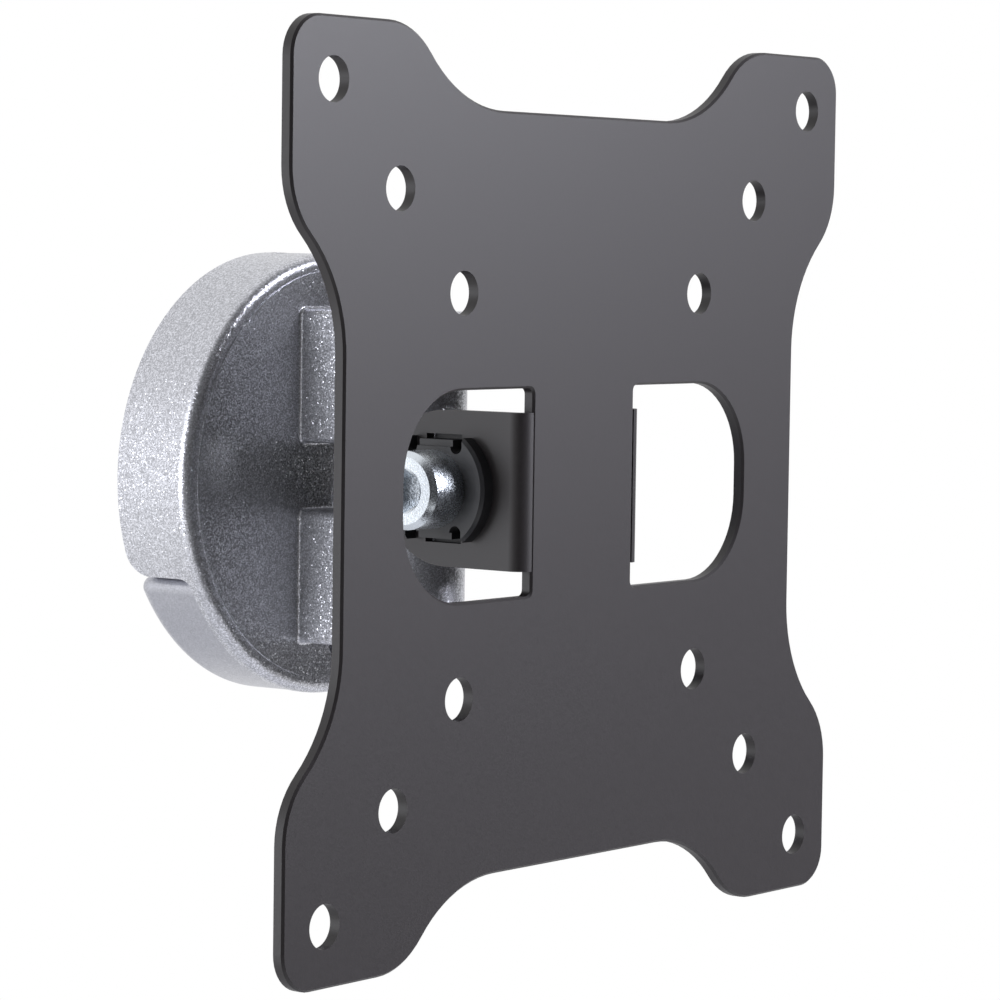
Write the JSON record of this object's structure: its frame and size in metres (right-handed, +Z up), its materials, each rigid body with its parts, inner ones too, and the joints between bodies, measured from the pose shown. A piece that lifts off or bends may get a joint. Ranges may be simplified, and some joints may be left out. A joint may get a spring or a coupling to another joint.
{
  "type": "monitor wall mount",
  "caption": "Small wall mount for a flat monitor: round silver wall disc with lugs, black swivel knuckle and a black pressed plate that tilts.",
  "frame": {"origin": "centre of the wall disc, on the wall face", "axes": "+Y goes into the wall, +Z is up, +X is to the right seen from the room; the mount stands out from the wall towards -Y"},
  "size_m": [0.115, 0.0537, 0.115],
  "materials": {
    "black_powder_coat": "satin black powder coat with a fine grain",
    "silver_paint": "silver metallic paint with a fine sparkle, on a casting",
    "silver_plastic": "smooth silver paint on a moulding, satin",
    "black_plastic": "moulded black, satin",
    "zinc_plated_steel": "bright zinc plate with a blue tinge",
    "bare_steel": "turned and greased",
    "black_cast_zinc": "matt black paint on a casting"
  },
  "bodies": {
    "base": {"base_housing": "silver_paint", "base_cover": "silver_plastic", "wall_plate": "zinc_plated_steel", "lock_screw": "zinc_plated_steel", "swivel_screw": "zinc_plated_steel", "swivel_washer": "zinc_plated_steel", "swivel_spring_washer": "zinc_plated_steel", "swivel_nut": "zinc_plated_steel"},
    "knuckle": {"knuckle": "black_cast_zinc", "tilt_sleeve": "bare_steel", "swivel_bush_upper": "black_plastic", "swivel_bush_lower": "black_plastic"},
    "plate": {"monitor_plate": "black_powder_coat", "tilt_bush_left": "black_plastic", "tilt_bush_right": "black_plastic", "friction_washer_left": "black_plastic", "friction_washer_right": "black_plastic", "tilt_screw": "zinc_plated_steel", "tilt_spring_washer": "zinc_plated_steel", "tilt_nut": "zinc_plated_steel"}
  },
  "joints": [
    {"name": "swivel", "type": "hinge", "parent": "base", "child": "knuckle", "pos_m": [0, -0.0247, 0], "axis": [0, 0, 1], "range_deg": [-35, 35]},
    {"name": "tilt", "type": "hinge", "parent": "knuckle", "child": "plate", "pos_m": [0, -0.04105, 0], "axis": [1, 0, 0], "range_deg": [-15, 15]}
  ]
}
